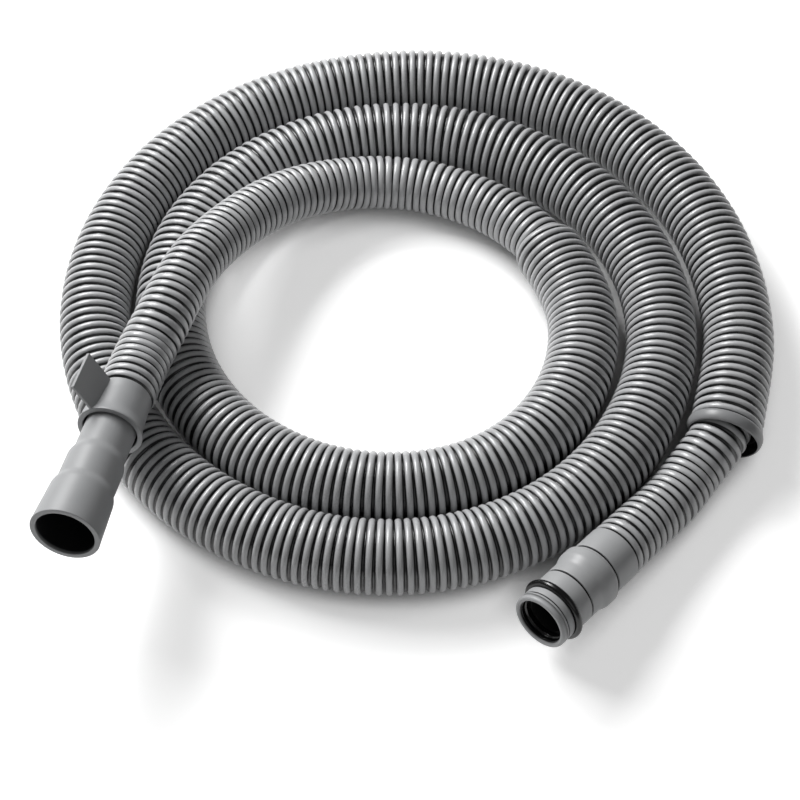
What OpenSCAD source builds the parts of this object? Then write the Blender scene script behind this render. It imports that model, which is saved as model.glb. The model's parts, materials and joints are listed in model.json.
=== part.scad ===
// Drain hose kit: a ribbed hose, threaded through a larger ribbed sleeve hose and coiled flat,
// with a sealed swivel spigot on one end and a stepped pipe cuff on the other.
// Millimetres, +Z up; the origin is on the ground under the middle of the kit.

/* [Inner hose] */
// Diameter of the inner hose over its ribs
hose_od = 33; // [30:0.5:35]
// Depth of the inner hose's ribs
hose_rib = 1.8; // [1:0.1:2]
// Wall of the inner hose under its ribs
hose_wall = 1; // [0.8:0.1:1.4]

/* [Sleeve hose] */
// Radial play between the inner hose and the sleeve's bore
sleeve_play = 1.5; // [1.2:0.1:3]
// Wall of the sleeve under its ribs
sleeve_wall = 0.8; // [0.6:0.1:1.2]
// Depth of the sleeve's ribs
sleeve_rib = 2.2; // [1.4:0.1:2.6]
// Number of ribs on the sleeve
sleeve_ribs = 108; // [60:2:120]
// Length of the smooth ring on the sleeve's open end
end_ring_len = 7; // [5:0.5:10]
// How far that ring stands out past the sleeve's ribs
end_ring_proud = 1.1; // [0.5:0.1:2]

/* [Coil] */
// Radius of the outermost turn, to the middle of the tube
coil_r = 201.5; // [195:0.5:230]
// Air between neighbouring turns, on average
turn_gap = 3; // [3:0.1:8]
// Depth to which the tubes are flattened where they lie on the ground
ground_flat = 0.5; // [0:0.1:0.8]

/* [Spigot end] */
// Clearance of every turning fit
run_gap = 0.06; // [0.03:0.01:0.1]
// Play of the tails inside the hose bore
tail_play = 0.2; // [0.1:0.05:0.4]
// Length of tail inside the hose
tail_in = 20; // [18:1:28]
// Wall of a tail
tail_wall = 2; // [1.6:0.1:2.6]
// Wall of the spigot around its tail
spigot_wall = 3; // [2.8:0.1:4]
// Length of the fixed collar
collar_len = 16.8; // [12:0.2:22]
// Thickness of the rubber washers beside the grip ring
washer_t = 1.2; // [0.6:0.1:1.6]
// Length of the grip ring
grip_len = 21.4; // [18:0.1:28]
// How far the grip ring's shoulder stands out
grip_proud = 1.7; // [0.8:0.1:3]
// Length of the smooth seat behind the O-ring
seat_len = 9.8; // [9:0.1:14]
// Section of the O-ring
o_ring_d = 4.2; // [3.6:0.1:4.4]
// Length of the ridge between the O-ring and the nose
ridge_len = 4.8; // [4:0.1:6]
// Length of the rounded nose
nose_len = 5; // [4:0.1:7]

/* [Cuff end] */
// Diameter of the pipe that the cuff takes
pipe_d = 32; // [30:0.5:34]
// Depth of the cuff's socket
socket_len = 27; // [24:0.5:34]
// Wall of the socket at its inner end
socket_wall = 1.5; // [1.4:0.1:2.6]
// Wall of the socket at its mouth
mouth_wall = 3; // [2.4:0.1:4.5]
// Length of the cuff's middle step
middle_len = 17.5; // [14:0.5:24]
// Wall of the cuff's neck
neck_wall = 1.84; // [1.4:0.02:2.6]
// Length of neck that shows below the locking collar
neck_show = 18; // [14:0.5:24]
// Length of the locking collar
lock_len = 27; // [26:0.5:32]
// How far the skirt of the locking collar flares
skirt_flare = 1.8; // [1:0.1:3]
// Reach of the thumb tab from the axis
tab_reach = 35.5; // [26:0.5:40]
// Thickness of the thumb tab
tab_t = 2; // [1.5:0.1:3]

/* [Hidden] */
$fn = 96;

grey = [0.47, 0.48, 0.49];
pale_grey = [0.60, 0.61, 0.62];
black = [0.06, 0.06, 0.065];
steel = [0.72, 0.72, 0.70];

// Radii of the two tubes: crest of the ribs, groove between them, bore
hose_r = hose_od / 2;
hose_groove_r = hose_r - hose_rib;
hose_bore_r = hose_groove_r - hose_wall;
sleeve_bore_r = hose_r + sleeve_play;
sleeve_groove_r = sleeve_bore_r + sleeve_wall;
sleeve_r = sleeve_groove_r + sleeve_rib;
end_ring_r = sleeve_r + end_ring_proud;
end_ring_bore_r = sleeve_groove_r + 1.2;

// Height of the tubes' middles: lying on the ground, and lying on a turn of the sleeve
sleeve_z = sleeve_r - ground_flat;
over_z = sleeve_z + sleeve_r + hose_r + 0.5;

// ---- Lie of the hose, seen from above, about the middle of the coil ----
coil_pitch = 2 * sleeve_r + turn_gap;
coil_turn = 720;
coil_step = 6;
// Middle of the coil; the kit's own middle lies over the origin
coil_mid = coil_pitch * [-0.2472, 0.1228, 0];
// A place by its compass angle about the coil, how many turns in from the outermost, and its height
function laid(a, turns, z) =
    let (r = coil_r - coil_pitch * turns)
    coil_mid + [r * cos(a), r * sin(a), z];
// A direction from its compass angle and its slope
function heading(a, slope = 0) = [cos(a) * cos(slope), sin(a) * cos(slope), sin(slope)];

// How far each part of the coil strays outwards from an even spiral, in hundredths of a turn,
// one value every 30 degrees
stray = [1, 9, 11, 2, 3, 4, 2, -2, -4, -1, 2, 0, 1, -3, -7, -2, 3, 6, 2, -1, -2, 1, 7, 2, -3];
function stray_at(a) = lookup(a, [for (i = [0:len(stray) - 1]) [30 * i, stray[i] / 100]]);
function soft_stray(a) = (stray_at(a - 12) + 2 * stray_at(a) + stray_at(a + 12)) / 4;
function coil_point(a) = laid(a, a / 360 - soft_stray(a), sleeve_z);

// Open end of the sleeve: where it is, and the way the tube runs there; and its last stretch at the
// inner end, each place by its compass angle and how many turns in it lies
mouth_a = 76;
mouth_slope = 3;
mouth = laid(-24.15, -0.09, end_ring_r + 0.8);
mouth_dir = heading(mouth_a, -mouth_slope);
// The end ring leans to one side and forwards over the hose, and so do the first ribs behind it
ring_a = 70;
ring_slope = 6.5;
ring_dir = heading(ring_a, ring_slope);
lean_len = 60;
function mouth_lean(s) = pow(max(0, 1 - s / lean_len), 2) * (ring_dir - mouth_dir);
tail_run = [[8, 2.075], [16, 2.12], [24, 2.148], [31, 2.155]];
// The sleeve's open end, and both ends of the hose, run straight for one diameter
sleeve_end = 2 * sleeve_r;
hose_end = 2 * hose_r;
end_steps = 3;

// Hose end at the spigot, lifted by a share of the hose's radius, and hose end at the cuff;
// the fittings point away from the hose
spigot_lift = 0.375;
spigot_end = laid(-54.5, -0.05, (1 + spigot_lift) * hose_r);
spigot_a = 227.7;
spigot_slope = 8;
cuff_end = laid(210.75, 0.6185, over_z + 2.7);
cuff_a = 257.7;
cuff_slope = 8.3;
cuff_gap = 0.3;

// From the spigot the hose touches the ground and runs into the open end of the sleeve
near_run = [[-39.3, 0.03, hose_r], [-33.8, 0.04, hose_r + 0.5]];
// From the inner end it climbs over two turns: compass angle, turns in, and the share of the climb
far_run = [[44, 2.2, 0], [56, 2.22, 0], [68, 2.225, 0], [80, 2.2, 0], [93, 2.165, 0.02],
           [106, 2.155, 0.09], [120, 2.15, 0.245], [134, 2.135, 0.415], [148, 2.1, 0.58],
           [162, 2.005, 0.765], [175, 1.85, 0.945], [186, 1.645, 1], [195.5, 1.385, 1.01]];

function straight(p, dir, steps) = [for (s = steps) p + s * dir];
coil_way = [for (a = [-coil_step:coil_step:coil_turn]) coil_point(a)];
tail_way = [for (p = tail_run) laid(p[0], p[1], sleeve_z)];
sleeve_way = concat(straight(mouth, mouth_dir, [0, sleeve_end / 2, sleeve_end]), coil_way, tail_way);
// Inside the open end the hose lies over to one side and low
mouth_side = heading(mouth_a + 90);
mouth_low = [0, 0, -sleeve_play / 3];
hose_way = concat(
    straight(spigot_end, heading(spigot_a + 180, -spigot_slope),
             [for (i = [0:end_steps]) i / end_steps * hose_end]),
    [for (p = near_run) laid(p[0], p[1], p[2])],
    [mouth - end_ring_len * ring_dir + 1.3 * sleeve_play * mouth_side + mouth_low,
     mouth + 0.25 * sleeve_end * mouth_dir + 0.4 * sleeve_play * mouth_side + mouth_low / 2,
     mouth + sleeve_end * mouth_dir],
    coil_way, tail_way,
    [for (p = far_run) laid(p[0], p[1], sleeve_z + p[2] * (over_z - sleeve_z))],
    straight(cuff_end, heading(cuff_a + 180, -cuff_slope),
             [for (i = [end_steps:-1:0]) max(i / end_steps * hose_end, cuff_gap)]));

// ---- Smooth curve through the points, and places along it by length ----
function between(a, b, c, d, t) = 0.5 * (2 * b + (c - a) * t
    + (2 * a - 5 * b + 4 * c - d) * t * t + (3 * b - a - 3 * c + d) * t * t * t);
function smooth(p, n) =
    let (m = len(p), q = concat([2 * p[0] - p[1]], p, [2 * p[m - 1] - p[m - 2]]))
    concat([for (i = [0:m - 2], j = [0:n - 1]) between(q[i], q[i + 1], q[i + 2], q[i + 3], j / n)],
           [p[m - 1]]);
function running(p) = [for (i = 0, s = 0; i < len(p);
    s = s + (i + 1 < len(p) ? norm(p[i + 1] - p[i]) : 0), i = i + 1) s];
function tables(p) =
    let (s = running(p))
    [for (k = [0:2]) [for (i = [0:len(p) - 1]) [s[i], p[i][k]]]];
function place(tab, s) = [for (k = [0:2]) lookup(s, tab[k])];
function tab_len(tab) = tab[0][len(tab[0]) - 1][0];
function tangent(tab, s) =
    let (a = max(s - 1, 0), b = min(s + 1, tab_len(tab)), d = place(tab, b) - place(tab, a))
    d / norm(d);

curve_n = 6;
sleeve_tab = tables(smooth(sleeve_way, curve_n));
hose_curve = smooth(hose_way, curve_n);
hose_tab = tables(hose_curve);
sleeve_len = tab_len(sleeve_tab);
hose_len = tab_len(hose_tab);
// Length along the hose at which it is inside the mouth, and at which it leaves the inner end
hose_near_s = running(hose_curve)[(end_steps + 1 + len(near_run) + 1) * curve_n];
hose_far_s = running(hose_curve)[(len(hose_way) - len(far_run) - end_steps - 2) * curve_n];

// ---- Ribbed tubes: rings of eight corners, flat side down, carried along a curve ----
sides = 8;
half_side = 180 / sides;
function ring(c, t, r) =
    let (u = cross(t, [0, 0, 1]), side = u / norm(u), up = cross(side, t), rho = r / cos(half_side))
    [for (k = [0:sides - 1])
        let (a = half_side + k * 2 * half_side, p = c + rho * (cos(a) * side + sin(a) * up))
        [p[0], p[1], max(p[2], 0)]];
function ring_at(tab, s, r, lean = [0, 0, 0]) =
    let (t = tangent(tab, s) + lean)
    ring(place(tab, s), t / norm(t), r);
// Rings of a ribbed stretch: grooves at even places, crests between them
function ribs(tab, s0, s1, n, groove_r, crest_r, leaning = false) =
    [for (i = [0:2 * n])
        let (s = s0 + (s1 - s0) * i / (2 * n))
        ring_at(tab, s, i % 2 == 0 ? groove_r : crest_r, leaning ? mouth_lean(s) : [0, 0, 0])];
function plain(tab, s0, s1, n, r, leaning = false) =
    [for (i = [0:n])
        let (s = s0 + (s1 - s0) * i / n)
        ring_at(tab, s, r, leaning ? mouth_lean(s) : [0, 0, 0])];

module tube(outer, bore) {
    a = len(outer);
    b = len(bore);
    corners = concat([for (q = outer, p = q) p], [for (q = bore, p = q) p]);
    function skin(first, n, flip) = [for (i = [0:n - 2], k = [0:sides - 1])
        let (p = first + i * sides + k, q = first + i * sides + (k + 1) % sides)
        for (f = flip ? [[p, p + sides, q], [q, p + sides, q + sides]]
                      : [[p, q, p + sides], [q, q + sides, p + sides]]) f];
    function cap(o, c, flip) = [for (k = [0:sides - 1]) let (n = (k + 1) % sides)
        for (f = flip ? [[o + k, c + k, o + n], [o + n, c + k, c + n]]
                      : [[o + k, o + n, c + k], [o + n, c + n, c + k]]) f];
    polyhedron(corners, concat(skin(0, a, true), skin(a * sides, b, false),
        cap(0, a * sides, false), cap((a - 1) * sides, (a + b - 1) * sides, true)));
}

// ---- Least air between the turns, and between the climbing hose and the turns below it ----
gap_step = 6;
function spots(tab, s0, s1) = [for (s = [s0:gap_step:s1]) [s, place(tab, s)]];
function least_gap(p, q, r, apart) = min([for (a = p, b = q)
    if (abs(a[0] - b[0]) > apart) norm(a[1] - b[1]) - r]);
echo(sleeve_length = sleeve_len, hose_length = hose_len);
echo(least_gap_between_turns = least_gap(spots(sleeve_tab, 0, sleeve_len),
    spots(sleeve_tab, 0, sleeve_len), 2 * sleeve_r, 8 * sleeve_r));
clear_of_tail = 1.5 * sleeve_end;
echo(least_gap_hose_to_turns = least_gap(spots(hose_tab, hose_far_s + clear_of_tail, hose_len),
    spots(sleeve_tab, 0, sleeve_len - clear_of_tail), sleeve_r + hose_r, -1));

module inner_hose() {
    near_ribs = 11;
    far_ribs = 28;
    hidden = sleeve_ribs / 2 - 3;
    s0 = sleeve_end;
    s1 = sleeve_len - sleeve_end;
    core = plain(sleeve_tab, s0, s1, hidden, hose_groove_r);
    core_bore = plain(sleeve_tab, s0, s1, hidden, hose_bore_r);
    color(grey) tube(
        concat(ribs(hose_tab, 0, hose_near_s, near_ribs, hose_groove_r, hose_r), core,
               ribs(hose_tab, hose_far_s, hose_len, far_ribs, hose_groove_r, hose_r)),
        concat(plain(hose_tab, 0, hose_near_s, near_ribs, hose_bore_r), core_bore,
               plain(hose_tab, hose_far_s, hose_len, far_ribs, hose_bore_r)));
}

module sleeve_hose() {
    pitch = sleeve_len / sleeve_ribs;
    neck_r = hose_r + 0.35;
    color(grey) tube(
        concat(ribs(sleeve_tab, 0, sleeve_len - pitch, sleeve_ribs - 1, sleeve_groove_r, sleeve_r, true),
               [ring_at(sleeve_tab, sleeve_len - pitch / 2, sleeve_r),
                ring_at(sleeve_tab, sleeve_len, neck_r + sleeve_wall)]),
        concat(plain(sleeve_tab, 0, sleeve_len - pitch, sleeve_ribs - 1, sleeve_bore_r, true),
               [ring_at(sleeve_tab, sleeve_len, neck_r)]));
}

// Smooth rolled bead that finishes the open end of the sleeve
module sleeve_end_ring() {
    wall = end_ring_r - end_ring_bore_r;
    front = 0.45 * end_ring_len;
    back = end_ring_len - front;
    color(grey) translate(mouth) rotate([0, 90 - ring_slope, ring_a]) rotate_extrude()
        polygon(concat(
            [for (a = [180:-15:0]) [end_ring_bore_r + wall / 2 * (1 + cos(a)),
                                    front * (1 - sin(a)) - end_ring_len]],
            [for (a = [75:-15:0]) [sleeve_r + end_ring_proud * sin(a), back * (cos(a) - 1)]],
            [[end_ring_bore_r, 0]]));
}

// ---- Spigot end: lengths are measured from the hose's end, outwards along the fitting ----
tail_r = hose_bore_r - tail_play;
tail_bore_r = tail_r - tail_wall;
turn_r = tail_r + run_gap;
spigot_r = turn_r + spigot_wall;
seal_gap = 0.05;
clip_r = tail_r + 0.7;
clip_t = 1.2;

collar_end = collar_len;
grip_start = collar_end + washer_t;
grip_end = grip_start + grip_len;
spigot_start = grip_end + washer_t;
groove_start = spigot_start + seat_len;
groove_w = o_ring_d + 0.6;
groove_r = turn_r + 1.05;
ridge_r = spigot_r - 0.25;
ridge_start = groove_start + groove_w;
nose_start = ridge_start + ridge_len;
nose_end = nose_start + nose_len;
nose_r = spigot_r - 0.15;
nose_lip = 1.5;
seal_r = turn_r + 0.6;
seal_start = ridge_start + 1.8;
seal_end = nose_end - nose_lip - 0.5;
tail_out = seal_start - 0.3;
clip_z = spigot_start + 4.2;

module on_spigot_axis() {
    translate(spigot_end) rotate([0, 90 - spigot_slope, spigot_a]) children();
}
module tube_piece(r, bore, z0, z1) {
    rotate_extrude() polygon([[bore, z0], [r, z0], [r, z1], [bore, z1]]);
}

// Plastic tail that joins the hose bore to the turning pieces
module spigot_tail() {
    color(black) on_spigot_axis() difference() {
        union() {
            tube_piece(tail_r, tail_bore_r, -tail_in, tail_out);
            for (z = [-tail_in + 5 : 6 : -5])
                translate([0, 0, z]) rotate_extrude()
                    polygon([[tail_r - 0.5, -1.2], [tail_r + tail_play / 2, 1], [tail_r - 0.5, 1]]);
        }
        tube_piece(tail_r + 1, tail_r - 0.6, clip_z - 0.1, clip_z + clip_t + 0.1);
    }
}

// Collar fixed on the tail, against the hose's end
module hose_collar() {
    color(pale_grey) on_spigot_axis() rotate_extrude()
        polygon([[tail_r + seal_gap, 0], [spigot_r - 0.55, 0], [spigot_r + 0.05, 0.6],
                 [spigot_r + 0.05, collar_end - 0.3], [spigot_r - 0.25, collar_end],
                 [tail_r + seal_gap, collar_end]]);
}

// Rubber washers that show as the black lines beside the grip ring
module washer_ring(z) {
    tube_piece(spigot_r - 0.6, turn_r + 0.1, z + seal_gap, z + washer_t - seal_gap);
}
module collar_washer() { color(black) on_spigot_axis() washer_ring(collar_end); }
module spigot_washer() { color(black) on_spigot_axis() washer_ring(grip_end); }

// Grip ring: turns on the tail between the two washers; its shoulder swells near the hose
module grip_ring() {
    land = 3;
    rise = 2.2;
    fall = 7;
    function shoulder(t) = spigot_r + grip_proud * (1 - cos(180 * t)) / 2;
    color(pale_grey) on_spigot_axis() difference() {
        rotate_extrude() polygon(concat(
            [[turn_r, grip_start], [spigot_r - 0.2, grip_start], [spigot_r + 0.1, grip_start + 0.4]],
            [for (t = [0:0.1:1]) [shoulder(t), grip_start + 0.5 + rise * t]],
            [for (t = [1:-0.1:0]) [shoulder(t), grip_end - fall * (1 + t)]],
            [[spigot_r, grip_end - 0.3], [spigot_r - 0.3, grip_end], [turn_r, grip_end]]));
        tube_piece(turn_r + 1.2, turn_r - 1, grip_start + land, grip_end - land);
    }
}

// Spigot: smooth seat, O-ring groove, ridge and rounded nose; it turns on the tail
module spigot() {
    lip_mid = nose_r - nose_lip;
    line_w = 0.6;
    color(pale_grey) on_spigot_axis() difference() {
        rotate_extrude() polygon(concat(
            [[turn_r, spigot_start], [spigot_r - 0.3, spigot_start], [spigot_r, spigot_start + 0.3],
             [spigot_r, groove_start - 0.3], [spigot_r - 0.3, groove_start], [groove_r, groove_start],
             [groove_r, ridge_start], [ridge_r - 0.4, ridge_start], [ridge_r, ridge_start + 0.4],
             [ridge_r, nose_start - line_w], [ridge_r - 0.8, nose_start - line_w],
             [ridge_r - 0.8, nose_start], [nose_r - 0.5, nose_start], [nose_r, nose_start + 0.7]],
            [for (a = [0:15:180]) [lip_mid + nose_lip * cos(a), nose_end - nose_lip + nose_lip * sin(a)]],
            [[lip_mid - nose_lip, seal_end], [seal_r, seal_end], [seal_r, seal_start],
             [turn_r, seal_start]]));
        tube_piece(clip_r + 0.1, turn_r - 1, clip_z - 0.1, clip_z + clip_t + 0.1);
    }
}

// Spring clip that holds the spigot on the tail
module spigot_clip() {
    color(steel) on_spigot_axis() difference() {
        tube_piece(clip_r, tail_r - 0.5, clip_z, clip_z + clip_t);
        translate([0, 0, clip_z]) rotate([0, 0, 20]) cube([2 * clip_r, 4, 3 * clip_t]);
    }
}

module o_ring() {
    color(black) on_spigot_axis() translate([0, 0, (groove_start + ridge_start) / 2])
        rotate_extrude() translate([groove_r + seal_gap + o_ring_d / 2, 0]) circle(d = o_ring_d);
}

// Rubber lip seal that lines the nose, with two ledges down to the tail's bore
module lip_seal() {
    r = seal_r - seal_gap;
    z0 = seal_start + seal_gap;
    z1 = seal_end - seal_gap;
    ledge = nose_r - 2 * nose_lip - 0.2;
    color(black) on_spigot_axis() rotate_extrude()
        polygon([[r, z0], [r, z1], [ledge, z1], [ledge, z1 - 2.2], [ledge - 0.3, z1 - 2.6],
                 [ledge - 0.9, z1 - 3], [ledge - 0.9, z0 + 0.3], [ledge - 0.6, z0]]);
}

// ---- Cuff end: lengths are measured from the hose's end, outwards along the fitting ----
wall_t = 3;
narrow_r = tail_r - 1.3;
neck_bore_r = narrow_r + run_gap;
neck_r = neck_bore_r + neck_wall;
flange_r = neck_r + 0.7;
chamber_r = flange_r + 0.2;
lock_low_r = chamber_r + 1.5;
lock_top_r = clip_r + 1.05;
skirt_r = lock_low_r + skirt_flare;
step_z = 11;
shoulder_z = 8.5;
neck_z = step_z + 0.3;
flange_end = step_z + 4;
lip_z = flange_end + 0.3;
lip_t = 2;
neck_end = lock_len + neck_show;
step_len = 5.5;
middle_r = neck_r + 1.75;
middle_end = neck_end + step_len + middle_len;
flare_len = 5;
cuff_len = middle_end + flare_len + 0.2 + socket_len;
pipe_r = pipe_d / 2;
cuff_tail_out = neck_end - 5;
// The tab leans towards the outside of the coil
tab_a = 211;
tab_len = lock_len - 0.2;

module on_cuff_axis() {
    translate(cuff_end) rotate([0, 90 - cuff_slope, cuff_a]) children();
}

// Plastic tail in the hose bore, stepped down where the cuff turns on it
module cuff_tail() {
    color(black) on_cuff_axis() difference() {
        union() {
            rotate_extrude() polygon([[tail_bore_r - 0.7, -tail_in], [tail_r, -tail_in],
                [tail_r, shoulder_z], [narrow_r, shoulder_z], [narrow_r, cuff_tail_out],
                [tail_bore_r - 0.7, cuff_tail_out]]);
            for (z = [-tail_in + 5 : 6 : -5])
                translate([0, 0, z]) rotate_extrude()
                    polygon([[tail_r - 0.5, -1.2], [tail_r + tail_play / 2, 1], [tail_r - 0.5, 1]]);
        }
        tube_piece(tail_r + 1, tail_r - 0.6, wall_t + 0.1, wall_t + clip_t + 0.3);
    }
}

// Spring clip that holds the locking collar on the tail
module cuff_clip() {
    color(steel) on_cuff_axis() difference() {
        tube_piece(clip_r, tail_r - 0.5, wall_t + 0.2, wall_t + 0.2 + clip_t);
        translate([0, 0, wall_t]) rotate([0, 0, 60]) cube([2 * clip_r, 4, 3 * clip_t]);
    }
}

// Locking collar: turns on the tail, holds the cuff's flange behind a lip, ends in a skirt
module lock_collar() {
    rim = 2.8;
    band = 5.4;
    color(pale_grey) on_cuff_axis() {
        rotate_extrude() polygon([
            [turn_r, 0], [lock_top_r - 0.8, 0], [lock_top_r, 0.8], [lock_top_r, band],
            [lock_top_r - 0.2, band + 0.4], [chamber_r + 0.85, step_z], [lock_low_r, lock_len - 7],
            [lock_low_r + 0.45 * skirt_flare, lock_len - 4], [skirt_r, lock_len - 0.9],
            [skirt_r - 0.2, lock_len - 0.2], [skirt_r - 0.4, lock_len], [skirt_r - rim, lock_len],
            [skirt_r - rim - 0.3, lock_len - 0.5], [chamber_r, lip_z + lip_t + 1],
            [neck_r + 0.15, lip_z + lip_t], [neck_r + 0.15, lip_z], [chamber_r, lip_z],
            [chamber_r, step_z + 0.2], [clip_r + 0.1, step_z - 0.6], [clip_r + 0.1, wall_t],
            [turn_r, wall_t]]);
        // Thumb tab and the small gusset beside its foot
        rotate([0, 0, tab_a]) {
            translate([0, tab_t / 2, 0]) rotate([90, 0, 0]) linear_extrude(tab_t)
                polygon([[lock_top_r - 0.7, 1], [tab_reach, 1], [tab_reach, tab_len],
                         [skirt_r - 1, tab_len], [lock_low_r - 0.8, lock_len - 6],
                         [lock_low_r - 0.8, step_z + 1], [lock_top_r - 0.7, step_z]]);
            gusset();
        }
    }
}
module gusset() {
    reach = 6;
    spread = 32;
    top = lock_len - 0.5;
    polyhedron([[lock_low_r - 0.4, 0, top - reach], [skirt_r + reach, 0.4 * tab_t, top],
                [skirt_r - 1.5, 0, top],
                [(skirt_r - 0.2) * cos(spread), (skirt_r - 0.2) * sin(spread), top]],
               [[0, 2, 1], [0, 1, 3], [1, 2, 3], [0, 3, 2]]);
}

// Rubber ring between the tail's shoulder and the cuff's neck
module cuff_seal() {
    color(black) on_cuff_axis()
        tube_piece(neck_r - 0.1, narrow_r + seal_gap, shoulder_z + seal_gap, neck_z - seal_gap);
}

// Cuff: flanged neck, middle step and wide socket, moulded in one piece
module stepped_cuff() {
    middle_bore = middle_r - 1.7;
    socket_z = cuff_len - socket_len;
    color(pale_grey) on_cuff_axis() rotate_extrude() polygon([
        [neck_bore_r, neck_z], [flange_r, neck_z], [flange_r, flange_end], [neck_r, flange_end],
        [neck_r, neck_end], [neck_r + 0.25, neck_end + 1.2], [middle_r - 0.25, neck_end + step_len - 1.2],
        [middle_r, neck_end + step_len], [middle_r, middle_end],
        [middle_r + 0.2, middle_end + 1.2], [pipe_r + socket_wall - 0.2, middle_end + flare_len - 1.2],
        [pipe_r + socket_wall, middle_end + flare_len],
        [pipe_r + mouth_wall, cuff_len - 0.6], [pipe_r + mouth_wall - 0.6, cuff_len],
        [pipe_r + 0.5, cuff_len], [pipe_r, cuff_len - 0.5], [pipe_r, socket_z],
        [middle_bore, middle_end - 0.5], [middle_bore, neck_end + step_len + 1],
        [narrow_r - 1, neck_end - 1], [narrow_r - 1, cuff_tail_out + 0.2],
        [neck_bore_r, cuff_tail_out + 0.2]]);
}

inner_hose();
sleeve_hose();
sleeve_end_ring();
spigot_tail();
hose_collar();
collar_washer();
grip_ring();
spigot_washer();
spigot();
spigot_clip();
o_ring();
lip_seal();
cuff_tail();
cuff_clip();
lock_collar();
cuff_seal();
stepped_cuff();
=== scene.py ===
"""Drain hose kit, dressed: a ribbed hose threaded through a larger ribbed sleeve and coiled flat,
with a turning spigot on one end and a stepped pipe cuff on the other. Metres, in the CAD frame."""

import json
import math

import bmesh
import bpy
import numpy as np
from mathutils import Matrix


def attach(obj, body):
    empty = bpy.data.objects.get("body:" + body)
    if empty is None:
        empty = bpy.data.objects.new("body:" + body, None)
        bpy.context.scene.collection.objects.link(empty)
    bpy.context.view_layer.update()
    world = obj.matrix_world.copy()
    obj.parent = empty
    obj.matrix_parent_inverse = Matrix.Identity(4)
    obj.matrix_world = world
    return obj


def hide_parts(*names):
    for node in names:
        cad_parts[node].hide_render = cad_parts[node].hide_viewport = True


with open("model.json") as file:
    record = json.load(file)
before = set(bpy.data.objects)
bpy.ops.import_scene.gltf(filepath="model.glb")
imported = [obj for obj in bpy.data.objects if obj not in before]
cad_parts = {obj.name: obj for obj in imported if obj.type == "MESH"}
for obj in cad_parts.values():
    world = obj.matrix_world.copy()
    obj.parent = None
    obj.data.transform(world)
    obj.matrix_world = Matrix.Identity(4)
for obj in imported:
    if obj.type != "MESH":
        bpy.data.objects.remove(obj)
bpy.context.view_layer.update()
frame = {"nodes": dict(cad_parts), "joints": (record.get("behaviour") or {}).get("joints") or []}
mm = 0.001


# ---- Camera: stands before the two end fittings and looks down at the coil -------------------------
# A long lens from about a metre away, so that the far turns are hardly smaller than the near ones.
camera_place = (-9.10 * mm, -666.70 * mm, 890.94 * mm)
camera_down = 55
camera_data = bpy.data.cameras.new("camera")
camera_data.lens = 82.9
camera_data.sensor_width = 36
camera = bpy.data.objects.new("camera", camera_data)
camera.location = camera_place
camera.rotation_euler = (math.radians(90 - camera_down), 0, 0)
bpy.context.scene.collection.objects.link(camera)
bpy.context.scene.camera = camera


# ---- Inner hose: the long thin hose that carries the water ------------------------------------------
# Extruded in grey polyolefin and blown into half-round ribs with narrow grooves, so that it bends.
# It leaves the spigot, runs hidden through the sleeve, comes out of the coil and climbs to the cuff.
hose_r = 16.5 * mm
hose_groove_r = 14.7 * mm
hose_bore_r = 13.7 * mm
sleeve_r = 21 * mm
end_ring_r = 22.1 * mm
end_ring_len = 7 * mm
sleeve_play = 1.5 * mm

coil_pitch = 45 * mm
coil_mid = coil_pitch * np.array([-0.2472, 0.1228, 0])
coil_r = 201.5 * mm
coil_turn = 720
coil_step = 6
sleeve_z = 20.5 * mm
over_z = 58.5 * mm
# The sleeve's open end and both ends of the thin hose run straight for one diameter
sleeve_end = 2 * sleeve_r
hose_end = 2 * hose_r
end_steps = np.arange(4) / 3
curve_n = 8


def heading(turn, slope=0.0):
    """The direction at a compass angle and a slope, both in degrees."""
    turn, slope = math.radians(turn), math.radians(slope)
    flat = math.cos(slope)
    return np.array([math.cos(turn) * flat, math.sin(turn) * flat, math.sin(slope)])


def laid(turn, turns_in, z):
    """Places by compass angle about the coil, how many turns in from the outermost one, and height."""
    r = coil_r - coil_pitch * np.asarray(turns_in, float)
    turn = np.radians(turn)
    return coil_mid + np.stack([r * np.cos(turn), r * np.sin(turn), z + 0 * r], -1)


def straight(start, way, steps):
    """Places at the given distances from start, along one direction."""
    return start + np.outer(steps, way)


# How far the coil strays outwards from an even spiral, in hundredths of a turn, every 30 degrees
stray = [1, 9, 11, 2, 3, 4, 2, -2, -4, -1, 2, 0, 1, -3, -7, -2, 3, 6, 2, -1, -2, 1, 7, 2, -3]


def coil_places(a):
    """The coil: it moves in by one turn in 360 degrees of a, less a soft stray; its height stays the same."""
    def stray_at(b):
        return np.interp(b, 30 * np.arange(len(stray)), stray) / 100
    soft = (stray_at(a - 12) + 2 * stray_at(a) + stray_at(a + 12)) / 4
    return laid(a, a / 360 - soft, sleeve_z)


def smoothed(places, n):
    """A Catmull-Rom curve through the places: a cubic in t on each stretch, n points to a stretch."""
    q = np.vstack([2 * places[0] - places[1], places, 2 * places[-1] - places[-2]])
    a, b, c, d = (q[i:len(q) - 3 + i, None] for i in range(4))
    t = (np.arange(n) / n)[None, :, None]
    curve = (2 * b + (c - a) * t + (2 * a - 5 * b + 4 * c - d) * t**2
             + (3 * b - a - 3 * c + d) * t**3) / 2
    return np.vstack([curve.reshape(-1, 3), places[-1:]])


def lengths(curve):
    """The distance run at each point of a curve."""
    return np.concatenate([[0], np.cumsum(np.linalg.norm(np.diff(curve, axis=0), axis=1))])


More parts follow.
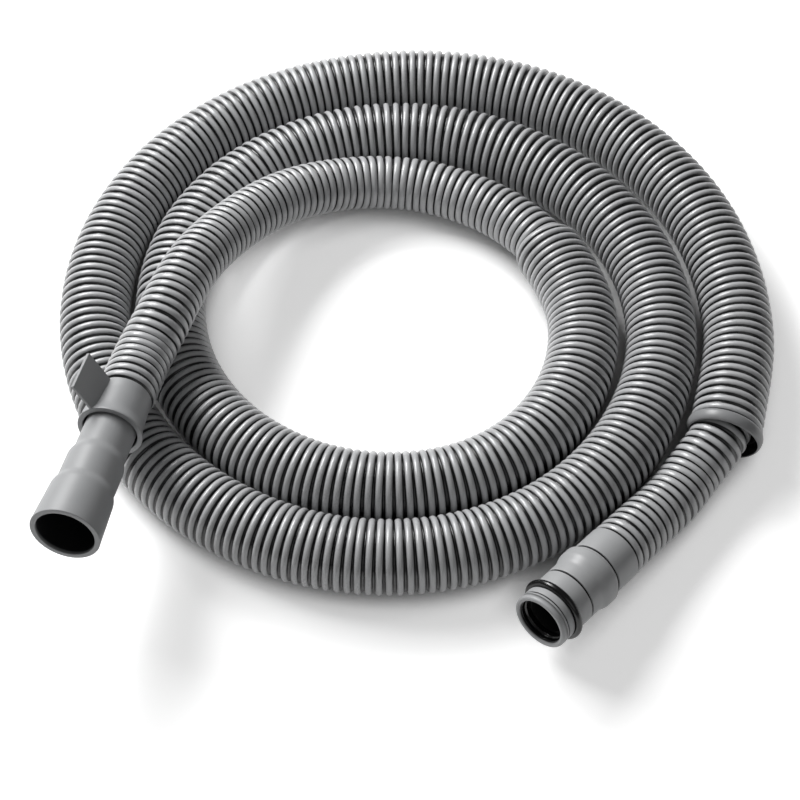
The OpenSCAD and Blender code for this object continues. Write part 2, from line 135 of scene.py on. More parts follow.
def eased(curve, window=44 * mm):
    """The curve with its tight spots spread: each point is the mean of its neighbours along a Hann window.

    Past both ends the curve goes on as its own point reflection, so that the ends stay where they are."""
    run = lengths(curve)
    half = int(window / 2 / mm)
    n = int(run[-1] / mm) + 1
    even = np.stack([np.interp(np.linspace(0, run[-1], n), run, curve[:, k]) for k in range(3)], 1)
    longer = np.vstack([2 * even[0] - even[half:0:-1], even, 2 * even[-1] - even[-2:-half - 2:-1]])
    weight = np.hanning(2 * half + 1)
    return np.stack([np.convolve(longer[:, k], weight / weight.sum(), "valid") for k in range(3)], 1)


joints = {joint["name"]: joint for joint in frame["joints"]}
spigot_out = np.array(joints["grip_turn"]["axis"])
grip_start = 18 * mm
spigot_end = np.array(joints["grip_turn"]["pos_m"]) - grip_start * spigot_out
cuff_out = -np.array(joints["collar_lock"]["axis"])
cuff_end = np.array(joints["collar_lock"]["pos_m"])
cuff_gap = 0.3 * mm

mouth = laid(-24.15, -0.09, end_ring_r + 0.8 * mm)
mouth_a = 76
mouth_way = heading(mouth_a, -3)
mouth_side = heading(mouth_a + 90)
mouth_low = np.array([0, 0, -sleeve_play / 3])
# The ring on the mouth leans over the hose, and the first ribs behind it lean less and less
ring_way = heading(70, 6.5)
mouth_lean = ring_way - mouth_way
lean_len = 60 * mm
coil_run = coil_places(np.arange(-coil_step, coil_turn + 1, coil_step).astype(float))
tail_run = laid(*np.array([[8, 2.075], [16, 2.12], [24, 2.148], [31, 2.155]]).T, sleeve_z)
near_run = np.array([laid(-39.3, 0.03, hose_r), laid(-33.8, 0.04, hose_r + 0.5 * mm)])
# Compass angle, turns in, and the share of the climb from the ground to the top of the turns
far_run = np.array([[44, 2.2, 0], [56, 2.22, 0], [68, 2.225, 0], [80, 2.2, 0], [93, 2.165, 0.02],
                    [106, 2.155, 0.09], [120, 2.15, 0.245], [134, 2.135, 0.415], [148, 2.1, 0.58],
                    [162, 2.005, 0.765], [175, 1.85, 0.945], [186, 1.645, 1], [195.5, 1.385, 1.01]]).T

hose_places = np.vstack([
    straight(spigot_end, -spigot_out, end_steps * hose_end),
    near_run,
    mouth - end_ring_len * ring_way + 1.3 * sleeve_play * mouth_side + mouth_low,
    mouth + 0.25 * sleeve_end * mouth_way + 0.4 * sleeve_play * mouth_side + mouth_low / 2,
    mouth + sleeve_end * mouth_way,
    coil_run, tail_run,
    laid(far_run[0], far_run[1], sleeve_z + far_run[2] * (over_z - sleeve_z)),
    straight(cuff_end, -cuff_out, np.maximum(end_steps[::-1] * hose_end, cuff_gap)),
])
inside_mouth = len(end_steps) + len(near_run) + 2
outside_tail = len(hose_places) - len(end_steps) - len(far_run.T) - 1
hose_curve = smoothed(hose_places, curve_n)
hose_near_s, hose_far_s = lengths(hose_curve)[[inside_mouth * curve_n, outside_tail * curve_n]]
hose_curve = eased(hose_curve)
hose_len = lengths(hose_curve)[-1]


def ring_axes(curve, s, wobble, lean):
    """Middle, run, side and up of the rings at distances s; each leans as told, and a little at random."""
    run = lengths(curve)

    def at(q):
        return np.stack([np.interp(q, run, curve[:, k]) for k in range(3)], 1)

    middle = at(s)
    way = at(np.minimum(s + mm, run[-1])) - at(np.maximum(s - mm, 0))
    way /= np.linalg.norm(way, axis=1)[:, None]
    way = way + lean + wobble * np.random.default_rng(7).normal(size=way.shape)
    way /= np.linalg.norm(way, axis=1)[:, None]
    side = np.cross(way, [0, 0, 1])
    side /= np.linalg.norm(side, axis=1)[:, None]
    return middle, way, side, np.cross(side, way)


def rings(axes, r, offset, sides):
    """Rings of points: middle + offset * way + r * (cos a * side + sin a * up), never under the floor.

    r and offset have one row for each middle and one column for each ring that it carries."""
    middle, way, side, up = (v[:, None, None, :] for v in axes)
    a = np.linspace(0, 2 * np.pi, sides, endpoint=False)[None, None, :, None]
    r, offset = (np.broadcast_to(v, (len(middle), np.shape(v)[-1]))[:, :, None, None] for v in (r, offset))
    points = middle + offset * way + r * (np.cos(a) * side + np.sin(a) * up)
    points[..., 2] = np.maximum(points[..., 2], 0)
    return points.reshape(-1, sides, 3)


rib_wobble = 0.005


def rib_rings(curve, s, groove, crest, width, sides, points, lean=0.0):
    """A half-round rib at each distance s: rings at width / 2 * -cos q and depth * sin q, q from 0 to pi."""
    q = np.linspace(0, np.pi, points)
    relief = np.tile(np.sin(q), len(s))
    made = rings(ring_axes(curve, s, rib_wobble, lean), groove + (crest - groove) * np.sin(q),
                 -width / 2 * np.cos(q), sides)
    return made, relief


def plain_rings(curve, s, r, sides, lean=0.0, relief=0.0):
    """Smooth rings of radius r at each distance s."""
    made = rings(ring_axes(curve, s, 0.0, lean), np.reshape(r * np.ones(len(s)), (-1, 1)), [[0.0]], sides)
    return made, relief * np.ones(len(s))


def grid_piece(name, points):
    """A closed mesh from a grid of points that runs round along its rows and along its columns.

    Its volume, the sum of v0 . (v1 x v2) / 6 over the triangles, tells which way the faces point."""
    rows, columns = points.shape[:2]
    i, j = np.meshgrid(np.arange(rows), np.arange(columns), indexing="ij")
    down, across = (i + 1) % rows, (j + 1) % columns
    quads = np.stack([i * columns + j, down * columns + j, down * columns + across, i * columns + across], -1)
    points, quads = points.reshape(-1, 3), quads.reshape(-1, 4)
    v = (points - points.mean(axis=0))[quads]
    if np.sum(v[:, 0] * (np.cross(v[:, 1], v[:, 2]) + np.cross(v[:, 2], v[:, 3]))) < 0:
        quads = quads[:, ::-1]
    mesh = bpy.data.meshes.new(name)
    mesh.from_pydata(points, [], quads.tolist())
    mesh.shade_smooth()
    piece = bpy.data.objects.new(name, mesh)
    bpy.context.scene.collection.objects.link(piece)
    return piece


def finished(piece, material, body, slot, *nodes):
    piece.data.materials.append(material)
    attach(piece, body)
    if nodes:
        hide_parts(*nodes)


def tube_piece(name, outer, bore):
    """A hose: rings out along its skin and back along its bore, with how far each stands out of a groove."""
    points = np.concatenate([outer[0], bore[0][::-1]])
    relief = np.concatenate([outer[1], bore[1][::-1]])
    piece = grid_piece(name, points)
    layer = piece.data.attributes.new("relief", "FLOAT", "POINT")
    layer.data.foreach_set("value", np.repeat(relief, points.shape[1]).astype(np.float32))
    return piece


def joined(*runs):
    """Several runs of rings, one after another."""
    return np.concatenate([run[0] for run in runs]), np.concatenate([run[1] for run in runs])


def rib_places(start, end, pitch, spread=0.015):
    """Rib middles between two distances: even, with half a pitch at the ends and a little at random."""
    n = round((end - start) / pitch)
    even = start + (np.arange(n) + 0.5) * (end - start) / n
    return even + spread * pitch * np.random.default_rng(3).normal(size=n)


class Value:
    """A shader value: sums, differences and products of it add Math nodes, and node() adds any other node."""

    def __init__(self, owner, socket=None):
        self.owner, self.socket = owner, socket

    def plug_into(self, socket):
        self.owner.node_tree.links.new(self.socket, socket)

    def node(self, kind, sockets=(), out=0, stops=(), **settings):
        made = self.owner.node_tree.nodes.new("ShaderNode" + kind)
        for name, setting in settings.items():
            setattr(made, name, setting)
        for n, (place, colour) in enumerate(stops):
            ramp = made.color_ramp.elements
            if n == 0:
                ramp.remove(ramp[1])
            stop = ramp.new(place) if n else ramp[0]
            stop.position, stop.color = place, colour
        for name, given in dict(sockets).items():
            supply(made.inputs[name], given)
        return Value(self.owner, made.outputs[out])

    def math(self, operation, *terms):
        return self.node("Math", dict(enumerate(terms)), operation=operation)

    def __add__(self, other):
        return self.math("ADD", self, other)

    def __sub__(self, other):
        return self.math("SUBTRACT", self, other)

    def __rsub__(self, other):
        return self.math("SUBTRACT", other, self)

    def __mul__(self, other):
        return self.math("MULTIPLY", self, other)

    __radd__, __rmul__ = __add__, __mul__

    def mix(self, low, high):
        """Colour low where this value is 0, and high where it is 1."""
        return self.node("Mix", {0: self, 6: low, 7: high}, out=2, data_type="RGBA")


def supply(socket, given):
    """Links a value to a socket, or sets the socket to a number, colour or vector."""
    if isinstance(given, Value):
        given.plug_into(socket)
    else:
        socket.default_value = given


def new_material(name):
    """An empty material with its Principled shader, and a Value that adds nodes to it."""
    material = bpy.data.materials.new(name)
    material.use_nodes = True
    return Value(material), material.node_tree.nodes["Principled BSDF"]


def feed(shader, **sockets):
    """Links values and sets numbers on a shader's own sockets; an underscore in a name is a space."""
    for name, given in sockets.items():
        supply(shader.inputs[name.replace("_", " ")], given)


def mottle(adds, scale, detail, roughness):
    """Soft noise from 0 to 1 through the piece, at so many waves to the metre."""
    where = adds.node("TexCoord", out=3)
    return adds.node("TexNoise", {"Vector": where, "Scale": scale, "Detail": detail, "Roughness": roughness})


hose_grey = (0.37, 0.374, 0.380, 1)
# Painted shade: the black of the grooves and bores
groove_shade_black = (0.003, 0.003, 0.0035, 1)
crest_grey = (0.47, 0.475, 0.483, 1)


def hose_material():
    """Grey satin plastic with a fine extruded grain, a little paler on the crests; painted shade blacks its
    grooves and bore.
    """
    adds, shader = new_material("hose_plastic")
    relief = adds.node("Attribute", out=2, attribute_name="relief")
    grain = mottle(adds, 900.0, 3.0, 0.65)
    cloud = mottle(adds, 14.0, 3.0, 0.5)
    # Painted shade: black in the grooves and bores, darkening up the ribs' flanks to the plain grey
    depth = adds.node("ValToRGB", {"Fac": relief}, stops=[
        (0.0, groove_shade_black), (0.48, groove_shade_black), (0.66, hose_grey), (1.0, crest_grey)])
    tone = cloud * 0.16 + grain * 0.10 + 0.87
    colour = adds.node("VectorMath", {0: depth, 1: tone}, operation="MULTIPLY")
    bump = adds.node("Bump", {"Height": grain * 1.0 + cloud * 0.4, "Strength": 0.35, "Distance": 0.00022})
    feed(shader, Base_Color=colour, Roughness=grain * 0.18 + cloud * 0.10 + 0.16, Normal=bump,
         Specular_IOR_Level=0.75)
    return adds.owner


hose_plastic = hose_material()

hose_pitch = 5.5 * mm
climb_pitch = 5.3 * mm
hose_rib_w = 4.7 * mm
hose_sides = 40
hose_rib_points = 9
core_rings = 160
bore_rings = 300
# The ribs go on a little way into both ends of the sleeve; between them the hose is a plain hidden core
stub_ribs = rib_places(0.6 * mm, hose_near_s + 4 * mm, hose_pitch)
core_s = np.linspace(hose_near_s + 6 * mm, hose_far_s - 8 * mm, core_rings)
climb_ribs = rib_places(hose_far_s - 6 * mm, hose_len - 0.4 * mm, climb_pitch)
bore_s = np.linspace(0, hose_len, bore_rings)
inner_hose = tube_piece(
    "inner_hose_ribbed",
    joined(plain_rings(hose_curve, np.array([0.0]), hose_groove_r, hose_sides),
           rib_rings(hose_curve, stub_ribs, hose_groove_r, hose_r, hose_rib_w, hose_sides, hose_rib_points),
           plain_rings(hose_curve, core_s, hose_groove_r, hose_sides),
           rib_rings(hose_curve, climb_ribs, hose_groove_r, hose_r, hose_rib_w, hose_sides, hose_rib_points),
           plain_rings(hose_curve, np.array([hose_len]), hose_groove_r, hose_sides)),
    plain_rings(hose_curve, bore_s, hose_bore_r, hose_sides))
finished(inner_hose, hose_plastic, "hose", "hose_plastic", "inner_hose")


# ---- Sleeve hose: the wide ribbed hose round most of the thin one -----------------------------------
# The same plastic, blown larger. Its ribs sit closer where the coil was pulled tight and further apart
# on the far side; at its inner end the last rib draws in on to the thin hose.
sleeve_groove_r = 18.8 * mm
sleeve_bore_r = 18 * mm
sleeve_rib_w = 4.5 * mm
sleeve_sides = 32
sleeve_rib_points = 7
sleeve_bore_rings = 120
neck_len = 5 * mm
neck_bore_r = 16.9 * mm
neck_lean = 0.10 * heading(31)
neck_lean_len = 12 * mm
sleeve_places = np.vstack([straight(mouth, mouth_way, [0, sleeve_end / 2, sleeve_end]), coil_run, tail_run])
sleeve_curve = eased(smoothed(sleeve_places, curve_n))
sleeve_len = lengths(sleeve_curve)[-1]
# Pitch of the ribs, in mm, at even distances from the open end to the inner end
sleeve_pitch = [5.6, 5.65, 5.5, 5.5, 5.55, 5.2, 5.25, 5.5, 5.85, 5.7, 5.1, 5.25, 5.2]


def uneven_ribs(start, end, pitches):
    """Rib middles where the local pitch follows the list: the count run up is the integral of 1 / pitch."""
    s = np.linspace(start, end, 2000)
    pitch = np.interp(s, np.linspace(start, end, len(pitches)), np.array(pitches) * mm)
    count = np.concatenate([[0], np.cumsum(np.diff(s) / (pitch[1:] + pitch[:-1]) * 2)])
    n = round(count[-1])
    middles = np.interp((np.arange(n) + 0.5) * count[-1] / n, count, s)
    return middles + 0.012 * np.mean(pitch) * np.random.default_rng(5).normal(size=n)


def sleeve_lean(s):
    """How the rings lean: (1 - s / lean_len) squared of the mouth's lean, and the neck's at the inner end."""
    near_mouth = np.maximum(0, 1 - s / lean_len) ** 2
    near_neck = np.maximum(0, 1 - (sleeve_len - s) / neck_lean_len)
    return near_mouth[:, None] * mouth_lean + near_neck[:, None] * neck_lean


# The last rib draws in on to the thin hose: its places, its radii, and how far it stands out of a groove
neck_s = sleeve_len + np.array([-4.6, -3.6, -2.2, -1.0, -0.3]) * mm
neck_r = np.array([18.8, 19.6, 19.4, 18.2, 17.65]) * mm
neck_relief = np.array([0, 0.8, 1, 0.9, 0.7])
sleeve_ribs = uneven_ribs(0, sleeve_len - neck_len, sleeve_pitch)
sleeve_bore_s = np.append(np.linspace(0, sleeve_len - neck_len, sleeve_bore_rings), neck_s[-1])
sleeve_bore = np.append(np.full(sleeve_bore_rings, sleeve_bore_r), neck_bore_r)
sleeve_hose = tube_piece(
    "sleeve_hose_ribbed",
    joined(plain_rings(sleeve_curve, np.array([0.0]), sleeve_groove_r, sleeve_sides, mouth_lean),
           rib_rings(sleeve_curve, sleeve_ribs, sleeve_groove_r, sleeve_r, sleeve_rib_w, sleeve_sides,
                     sleeve_rib_points, sleeve_lean(sleeve_ribs)),
           plain_rings(sleeve_curve, neck_s, neck_r, sleeve_sides, sleeve_lean(neck_s), neck_relief)),
    plain_rings(sleeve_curve, sleeve_bore_s, sleeve_bore, sleeve_sides, sleeve_lean(sleeve_bore_s)))
finished(sleeve_hose, hose_plastic, "hose", "hose_plastic", "sleeve_hose")


# ---- Ring on the sleeve's open end: the cut end is rolled back into a smooth bead --------------------
# The same grey plastic, a little glossier where the hot roll pressed it; painted shade makes it a darker grey than
# the hose and black inside, as in the grooves. It sits on the cut end and leans over the thin hose as far as the
# sleeve's first ribs do.
def cut_back(corners, fine=6):
    """An outline of rows (r, h, dark) from corners (r, h, cut) or (r, h, cut, dark), in mm.

    Each corner is cut back by its cut and bridged by a parabola, (1 - t)^2 a + 2 t (1 - t) corner + t^2 b,
    with a and b on the two edges. dark is 1 in a bore, where the plastic is painted black as shade, and 0
    elsewhere."""
    corners = np.array([(*corner, 0.0)[:4] for corner in corners])
    at, cut = corners[:, None, :2] * mm, corners[:, None, 2:3] * mm
    before, after = np.roll(at, 1, axis=0) - at, np.roll(at, -1, axis=0) - at
    a = at + cut * before / np.linalg.norm(before, axis=2, keepdims=True)
    b = at + cut * after / np.linalg.norm(after, axis=2, keepdims=True)
    t = np.linspace(0, 1, fine)[None, :, None]
    bridge = (1 - t) ** 2 * a + 2 * t * (1 - t) * at + t**2 * b
    return np.column_stack([bridge.reshape(-1, 2), np.repeat(corners[:, 3], fine)])


def arc_rows(r, h, dark=0.0):
    """Outline rows (r, h, dark) from two arrays in mm."""
    return np.stack([r * mm, h * mm, dark + 0 * r], 1)


def turned_axes(out):
    """The two directions across a turned piece that points along out."""
    across = np.cross([0, 0, 1], out)
    across /= np.linalg.norm(across)
    return np.cross(across, out), across


def turned(name, start, out, outline, sides=160):
    """Outline rows (r, h, dark) carried round an axis: start + h * out + r * (cos a * x + sin a * y)."""
    x, y = turned_axes(out)
    a = np.linspace(0, 2 * np.pi, sides, endpoint=False)[None, :, None]
    r, h = outline[:, :1, None], outline[:, 1:2, None]
    piece = grid_piece(name, start + h * out + r * (np.cos(a) * x + np.sin(a) * y))
    layer = piece.data.attributes.new("inside", "FLOAT", "POINT")
    layer.data.foreach_set("value", np.repeat(outline[:, 2], sides).astype(np.float32))
    return piece


ring_bore = 20.0
ring_wall = 2.1
ring_h = end_ring_len / mm
# The bead bulges as a sine over its wall, fullest nearer the sleeve; a thin skirt inside it, black with painted
# shade, reaches 4 mm into the sleeve, so that no gap shows between the two
roll = np.linspace(np.pi, 0, 28)
skirt = np.array([(18.9, 0), (18.6, 4), (18.3, 4), (18.5, -1.5), (ring_bore - 0.15, -6.3)])
bead = np.concatenate([
    arc_rows(ring_bore + ring_wall * np.sin(roll), -ring_h * ((1 - np.cos(roll)) / 2) ** 1.3),
    arc_rows(skirt[:, 0], skirt[:, 1], 1.0)])
mouth_ring = turned("mouth_ring", mouth, ring_way, bead, 128)


def grey_plastic(name, low, high, dark, rough, grain_scale, bump_depth):
    """Moulded grey plastic: clouded between two greys, with a fine grain in its gloss, and dark with painted shade
    in the bore.
    """
    adds, shader = new_material(name)
    cloud = mottle(adds, 38.0, 4.0, 0.55)
    grain = mottle(adds, grain_scale, 2.0, 0.6)
    inside = adds.node("Attribute", out=2, attribute_name="inside")
    colour = inside.mix((cloud * 0.7 + grain * 0.3).mix(low, high), dark)
    bump = adds.node("Bump", {"Height": grain + cloud * 0.3, "Strength": 0.3, "Distance": bump_depth})
    feed(shader, Base_Color=colour, Roughness=grain * 0.14 + cloud * 0.12 + rough, Normal=bump)
    return adds.owner


# Painted shade: a darker grey than the hose's, and black inside the ring
bead_plastic = grey_plastic("bead_plastic", (0.22, 0.223, 0.227, 1), (0.28, 0.284, 0.29, 1), groove_shade_black, 0.24,
                            1100.0, 0.00010)
finished(mouth_ring, bead_plastic, "hose", "hose_plastic", "sleeve_end_ring")


# ---- Spigot end: fixed collar, grip ring and sealed spigot, one behind another on a plastic tail -----
# Injection-moulded grey plastic on a black tail that is pushed into the hose. Rubber washers keep the
# grip ring off its neighbours; the O-ring seals in the socket that the spigot is pushed into.
tail_r = 13.5
turn_r = tail_r + 0.06
spigot_r = turn_r + 3
washer_t = 1.2
collar_end = 16.8
grip_end = 39.4
spigot_start = grip_end + washer_t
groove_r = turn_r + 1.05
groove_start = 50.4
ridge_start = 55.2
nose_start = 60.0
nose_end = 65.0
nose_r = spigot_r - 0.15
nose_lip = 1.5
seal_end = nose_end - nose_lip - 0.5

# Painted shade for the insides of the fittings
bore_shade_black = (0.008, 0.008, 0.009, 1)
spigot_plastic = grey_plastic("spigot_plastic", (0.35, 0.355, 0.361, 1), (0.41, 0.415, 0.421, 1), bore_shade_black, 0.30,
                              1400.0, 0.00008)

collar = turned("hose_collar_moulded", spigot_end, spigot_out, cut_back([
    (turn_r, 0.02, 0.1), (spigot_r + 0.05, 0.02, 0.5), (spigot_r + 0.05, collar_end - 0.02, 0.3),
    (turn_r, collar_end - 0.02, 0.1)]))
finished(collar, spigot_plastic, "hose", "fitting_plastic", "hose_collar")

# The grip ring is a plain tube, four corners of six rows each, with a shoulder let into its outer side:
# up by half a cosine wave near the hose, along, and down by a longer one
proud = 1.7
rise_len = 2.2
fall_len = 7
fall_start = grip_end - 14
t = np.linspace(0, 1, 16)
wave = proud * (1 - np.cos(np.pi * t)) / 2
shoulder = arc_rows(np.concatenate([spigot_r + wave, spigot_r + wave[::-1]]),
                    np.concatenate([collar_end + 1.7 + rise_len * t, fall_start + fall_len * t]))
plain = cut_back([
    (turn_r, grip_end, 0.1), (turn_r, collar_end + washer_t, 0.1), (spigot_r, collar_end + washer_t, 0.25),
    (spigot_r, grip_end, 0.3)])
grip = turned("grip_ring_moulded", spigot_end, spigot_out,
              np.concatenate([plain[6:18], shoulder, plain[18:], plain[:6]]))
finished(grip, spigot_plastic, "grip", "fitting_plastic", "grip_ring")

# Painted shade makes the spigot black in its bore, round the inner edge of its nose and in the narrow groove just
# behind the nose
arc = np.linspace(0, np.pi, 24)
nose = arc_rows(nose_r - nose_lip + nose_lip * np.cos(arc), nose_end - nose_lip + nose_lip * np.sin(arc),
                np.clip(4 * arc / np.pi - 3, 0, 1))
body = cut_back([
    (spigot_r, spigot_start, 0.3), (spigot_r, groove_start, 0.3), (groove_r, groove_start, 0.2),
    (groove_r, ridge_start, 0.2), (spigot_r - 0.25, ridge_start, 0.45),
    (spigot_r - 0.25, nose_start - 0.6, 0.2), (spigot_r - 1.05, nose_start - 0.6, 0.05, 1),
    (spigot_r - 1.05, nose_start, 0.05, 1), (nose_r - 0.05, nose_start, 0.6), (nose_r, nose_start + 1.4, 0.1)])
bore = cut_back([
    (nose_r - 2 * nose_lip, seal_end, 0.1, 1), (turn_r + 0.6, seal_end, 0.05, 1),
    (turn_r + 0.6, ridge_start + 1.8, 0.05, 1), (turn_r, ridge_start + 1.8, 0.05, 1), (turn_r, spigot_start, 0.1)])
spigot = turned("spigot_moulded", spigot_end, spigot_out, np.concatenate([body, nose, bore]))
finished(spigot, spigot_plastic, "nose", "fitting_plastic", "spigot")


def rubber_material():
    """Black seal rubber: a soft skin with a faint bloom, glossy where it is stretched."""
    adds, shader = new_material("seal_rubber")
    bloom = mottle(adds, 260.0, 4.0, 0.6)
    bump = adds.node("Bump", {"Height": bloom, "Strength": 0.2, "Distance": 0.00006})
    feed(shader, Base_Color=bloom.mix((0.002, 0.002, 0.002, 1), (0.005, 0.005, 0.0055, 1)),
         Roughness=bloom * 0.15 + 0.17, Normal=bump)
    return adds.owner


seal_rubber = rubber_material()
o_ring_r = 4.2 / 2
o_ring_a = np.linspace(0, 2 * np.pi, 32, endpoint=False)
o_ring = turned("o_ring_moulded", spigot_end, spigot_out, arc_rows(
    groove_r + 0.05 + o_ring_r * (1 + np.cos(o_ring_a)),
    (groove_start + ridge_start) / 2 + o_ring_r * np.sin(o_ring_a)))
finished(o_ring, seal_rubber, "nose", "seal_rubber", "o_ring")

seal_r = turn_r + 0.55
seal_start = ridge_start + 1.85
ledge = nose_r - 2 * nose_lip - 0.2
lip_seal = turned("lip_seal_moulded", spigot_end, spigot_out, cut_back([
    (seal_r, seal_start, 0.1), (seal_r, seal_end - 0.05, 0.1), (ledge, seal_end - 0.05, 0.3),
    (ledge, seal_end - 2.3, 0.3), (ledge - 0.9, seal_end - 3.0, 0.3), (ledge - 0.9, seal_start, 0.25)]))
finished(lip_seal, seal_rubber, "nose", "seal_rubber", "lip_seal")


def tail_material():
    """Black moulded plastic of the tails: slightly rough, with the fine mottle of filled nylon."""
    adds, shader = new_material("tail_plastic")
    filler = mottle(adds, 500.0, 3.0, 0.6)
    bump = adds.node("Bump", {"Height": filler, "Strength": 0.2, "Distance": 0.00008})
    feed(shader, Base_Color=filler.mix((0.006, 0.006, 0.006, 1), (0.014, 0.014, 0.014, 1)),
         Roughness=filler * 0.2 + 0.45, Normal=bump)
    return adds.owner


def steel_material():
    """Spring steel of the clips: bright, with fine drawn lines round it in its gloss."""
    adds, shader = new_material("clip_steel")
    lines = mottle(adds, 700.0, 5.0, 0.7)
    feed(shader, Base_Color=lines.mix((0.50, 0.50, 0.49, 1), (0.66, 0.66, 0.64, 1)), Metallic=1.0,
         Roughness=lines * 0.25 + 0.22)
    return adds.owner


def dress(material, *nodes):
    """Gives nodes that keep their own mesh a better material."""
    for name in nodes:
        for holder in frame["nodes"][name].material_slots:
            holder.material = material


tail_plastic = tail_material()
clip_steel = steel_material()
dress(seal_rubber, "collar_washer", "spigot_washer")
dress(tail_plastic, "spigot_tail")
dress(clip_steel, "spigot_clip")


# ---- Cuff end: locking collar with its thumb tab, and the stepped cuff ------------------------------
# Injection-moulded grey plastic. The collar turns on the hose's tail and holds the cuff's flange; the
# cuff swivels in it and steps up in two rounded ramps to the socket that a waste pipe is pushed into.
clip_r = tail_r + 0.7
neck_r_out = 14.1
flange_r = neck_r_out + 0.7
chamber_r = flange_r + 0.2
low_r = chamber_r + 1.5
top_r = clip_r + 1.05
skirt_r = low_r + 1.8
lock_len = 27.0
step_z = 11.0
lip_z = step_z + 4.3
lip_end = lip_z + 2

cuff_plastic = grey_plastic("cuff_plastic", (0.28, 0.285, 0.291, 1), (0.335, 0.34, 0.346, 1), bore_shade_black, 0.36,
                            1400.0, 0.00008)

# Painted shade makes the collar black inside its skirt, down to the lip round the cuff's neck
lock = turned("lock_collar_moulded", cuff_end, cuff_out, cut_back([
    (turn_r, 0, 0.1), (top_r, 0, 0.7), (top_r, 5.6, 0.4), (chamber_r + 0.75, step_z, 2.5),
    (low_r - 0.1, lock_len - 7, 1.5), (low_r + 0.7, lock_len - 4, 1.2), (skirt_r, lock_len - 1, 0.5),
    (skirt_r - 0.1, lock_len, 0.35), (skirt_r - 2.8, lock_len, 0.3), (skirt_r - 3.2, lock_len - 1.2, 0.4, 1),
    (chamber_r, lip_end + 1, 0.4, 1), (neck_r_out + 0.15, lip_end, 0.2, 1), (neck_r_out + 0.15, lip_z, 0.1),
    (chamber_r, lip_z, 0.1), (chamber_r, step_z + 0.2, 0.2), (clip_r + 0.1, step_z - 0.6, 0.2),
    (clip_r + 0.1, 3, 0.1), (turn_r, 3, 0.1)]))
finished(lock, cuff_plastic, "lock", "fitting_plastic", "lock_collar")

tab_a = math.radians(211)
tab_reach = 35.5
tab_t = 2.0
tab_len = lock_len - 0.2
lock_x, lock_y = turned_axes(cuff_out)
tab_x = math.cos(tab_a) * lock_x + math.sin(tab_a) * lock_y
tab_y = math.cos(tab_a) * lock_y - math.sin(tab_a) * lock_x


def moulded_on(name, near, far, edge):
    """A small block between two outlines of corners (out, aside, along) in mm, with rounded edges."""
    n = len(near)
    points = cuff_end + np.array(near + far, float) * mm @ np.stack([tab_x, tab_y, cuff_out])
    ends = [list(range(n)), list(range(2 * n - 1, n - 1, -1))]
    walls = [[k, k + n, (k + 1) % n + n, (k + 1) % n] for k in range(n)]
    mesh = bpy.data.meshes.new(name)
    mesh.from_pydata(points, [], ends + walls)
    solid = bmesh.new()
    solid.from_mesh(mesh)
    bmesh.ops.recalc_face_normals(solid, faces=solid.faces)
    solid.to_mesh(mesh)
    solid.free()
    piece = bpy.data.objects.new(name, mesh)
    bpy.context.scene.collection.objects.link(piece)
    bevel = piece.modifiers.new("edge", "BEVEL")
    bevel.width = edge * mm
    bevel.segments = 3
    bevel.harden_normals = True
    mesh.shade_smooth()
    finished(piece, cuff_plastic, "lock", "fitting_plastic")
    return piece


tab_edge = [(top_r - 0.7, 1), (tab_reach, 1), (tab_reach, tab_len), (skirt_r - 1, tab_len),
            (low_r - 0.8, lock_len - 6), (low_r - 0.8, step_z + 1), (top_r - 0.7, step_z)]
tab = moulded_on("thumb_tab", [(r, -tab_t / 2, h) for r, h in tab_edge],
                 [(r, tab_t / 2, h) for r, h in tab_edge], 0.35)
gusset_foot = low_r - 1
gusset_plan = [(0.6, 13.0, skirt_r), (0.6, lock_len - 0.6, skirt_r), (7.4, lock_len - 0.6, skirt_r - 1.2),
               (5.4, lock_len - 9, skirt_r - 0.8)]
gusset = moulded_on("tab_gusset", [(r, side, h) for side, h, r in gusset_plan],
                    [(gusset_foot, side, h) for side, h, r in gusset_plan], 0.2)

neck_end = lock_len + 18
middle_r = neck_r_out + 1.75
middle_start = neck_end + 5.5
middle_end = middle_start + 17.5
wide_start = middle_end + 5
socket_len = 27
cuff_len = wide_start + 0.2 + socket_len
wide_r = 17.5
rim_r = 19.0
pipe_r = 16.0
neck_bore = 12.26
throat_r = 11.2
middle_bore = middle_r - 1.7
# Painted shade makes the cuff black inside, from 2.5 mm within its rim down to its throat
cuff = turned("stepped_cuff_moulded", cuff_end, cuff_out, cut_back([
    (neck_bore, step_z + 0.3, 0.1), (flange_r, step_z + 0.3, 0.2), (flange_r, step_z + 4, 0.2),
    (neck_r_out, step_z + 4, 0.2), (neck_r_out, neck_end + 0.5, 1.5), (middle_r, middle_start, 1.8),
    (middle_r, middle_end + 0.5, 1.5), (wide_r, wide_start, 1.8), (rim_r, cuff_len, 0.55),
    (pipe_r, cuff_len, 0.5), (pipe_r, cuff_len - 2.5, 0.1, 1), (pipe_r, cuff_len - socket_len, 0.3, 1),
    (middle_bore, middle_end - 0.5, 0.5, 1), (middle_bore, middle_start + 1, 0.5, 1),
    (throat_r, neck_end - 1, 0.5, 1), (throat_r, neck_end - 4.8, 0.1, 1), (neck_bore, neck_end - 4.8, 0.1)]))
finished(cuff, cuff_plastic, "cuff", "fitting_plastic", "stepped_cuff")

dress(seal_rubber, "cuff_seal")
dress(tail_plastic, "cuff_tail")
dress(clip_steel, "cuff_clip")


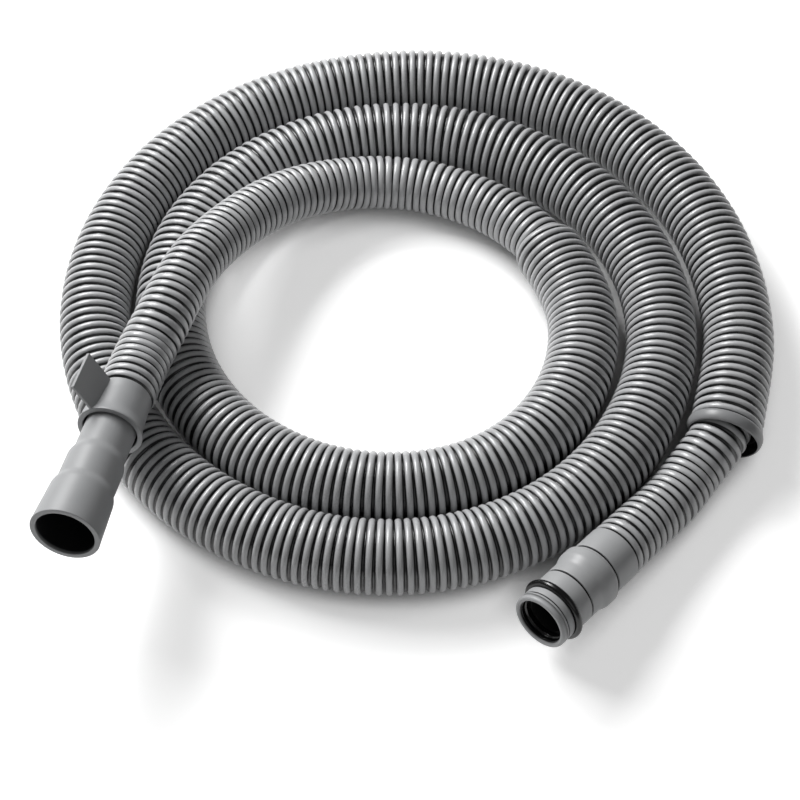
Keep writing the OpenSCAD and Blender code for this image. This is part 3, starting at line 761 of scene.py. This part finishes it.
# ---- Light and floor --------------------------------------------------------------------------------
# A white table under two soft lamps behind the coil, on its left, and a faint one in front. To the camera
# and in gloss the table glows too where it has open air above it, so that it is white but for its shadows.
floor_mesh = bpy.data.meshes.new("floor")
reach = 4.0
floor_mesh.from_pydata([(-reach, -reach, 0), (reach, -reach, 0), (reach, reach, 0), (-reach, reach, 0)], [],
                       [(0, 1, 2, 3)])
floor = bpy.data.objects.new("floor", floor_mesh)
bpy.context.scene.collection.objects.link(floor)
floor_adds, floor_shader = new_material("floor_white")
seen = floor_adds.node("LightPath", out=0) + floor_adds.node("LightPath", out=3)
table_white = (0.86, 0.86, 0.86, 1)
# How far above the table a piece still shades it, and the open air, from 0 to 1, at which the glow sets in
shade_reach = 30 * mm
deep_shade = 0.3
glow_rise = 3
table_glow = (0.52, 0.52, 0.52, 1)
open_air = floor_adds.node("AmbientOcclusion", {"Distance": shade_reach}, out=1, samples=8)
glow = (seen * (open_air - deep_shade) * glow_rise).mix((0, 0, 0, 1), table_glow)
feed(floor_shader, Base_Color=table_white, Roughness=0.9, Specular_IOR_Level=0.2,
     Emission_Color=glow, Emission_Strength=1.0)
floor_mesh.materials.append(floor_adds.owner)


lamp_far = 1.9


def lamp(name, turn, rise, size, power):
    """A square area lamp that looks at the middle of the table, from a compass angle and a height in degrees."""
    data = bpy.data.lights.new(name, "AREA")
    data.size = size
    data.energy = power
    made = bpy.data.objects.new(name, data)
    made.location = lamp_far * heading(turn, rise)
    made.rotation_euler = (math.radians(90 - rise), 0, math.radians(turn + 90))
    bpy.context.scene.collection.objects.link(made)


lamp("key", 123, 39, 0.7, 30)
lamp("side", 150, 45, 0.6, 18)
lamp("fill", -75, 40, 1.2, 2.5)

world = bpy.data.worlds.new("world")
world.use_nodes = True
sky_light = 0.105
to_camera = Value(world).node("LightPath", out=0)
feed(world.node_tree.nodes["Background"], Color=(1, 1, 1, 1), Strength=to_camera * (1 - sky_light) + sky_light)
bpy.context.scene.world = world
bpy.context.scene.view_settings.view_transform = "Standard"
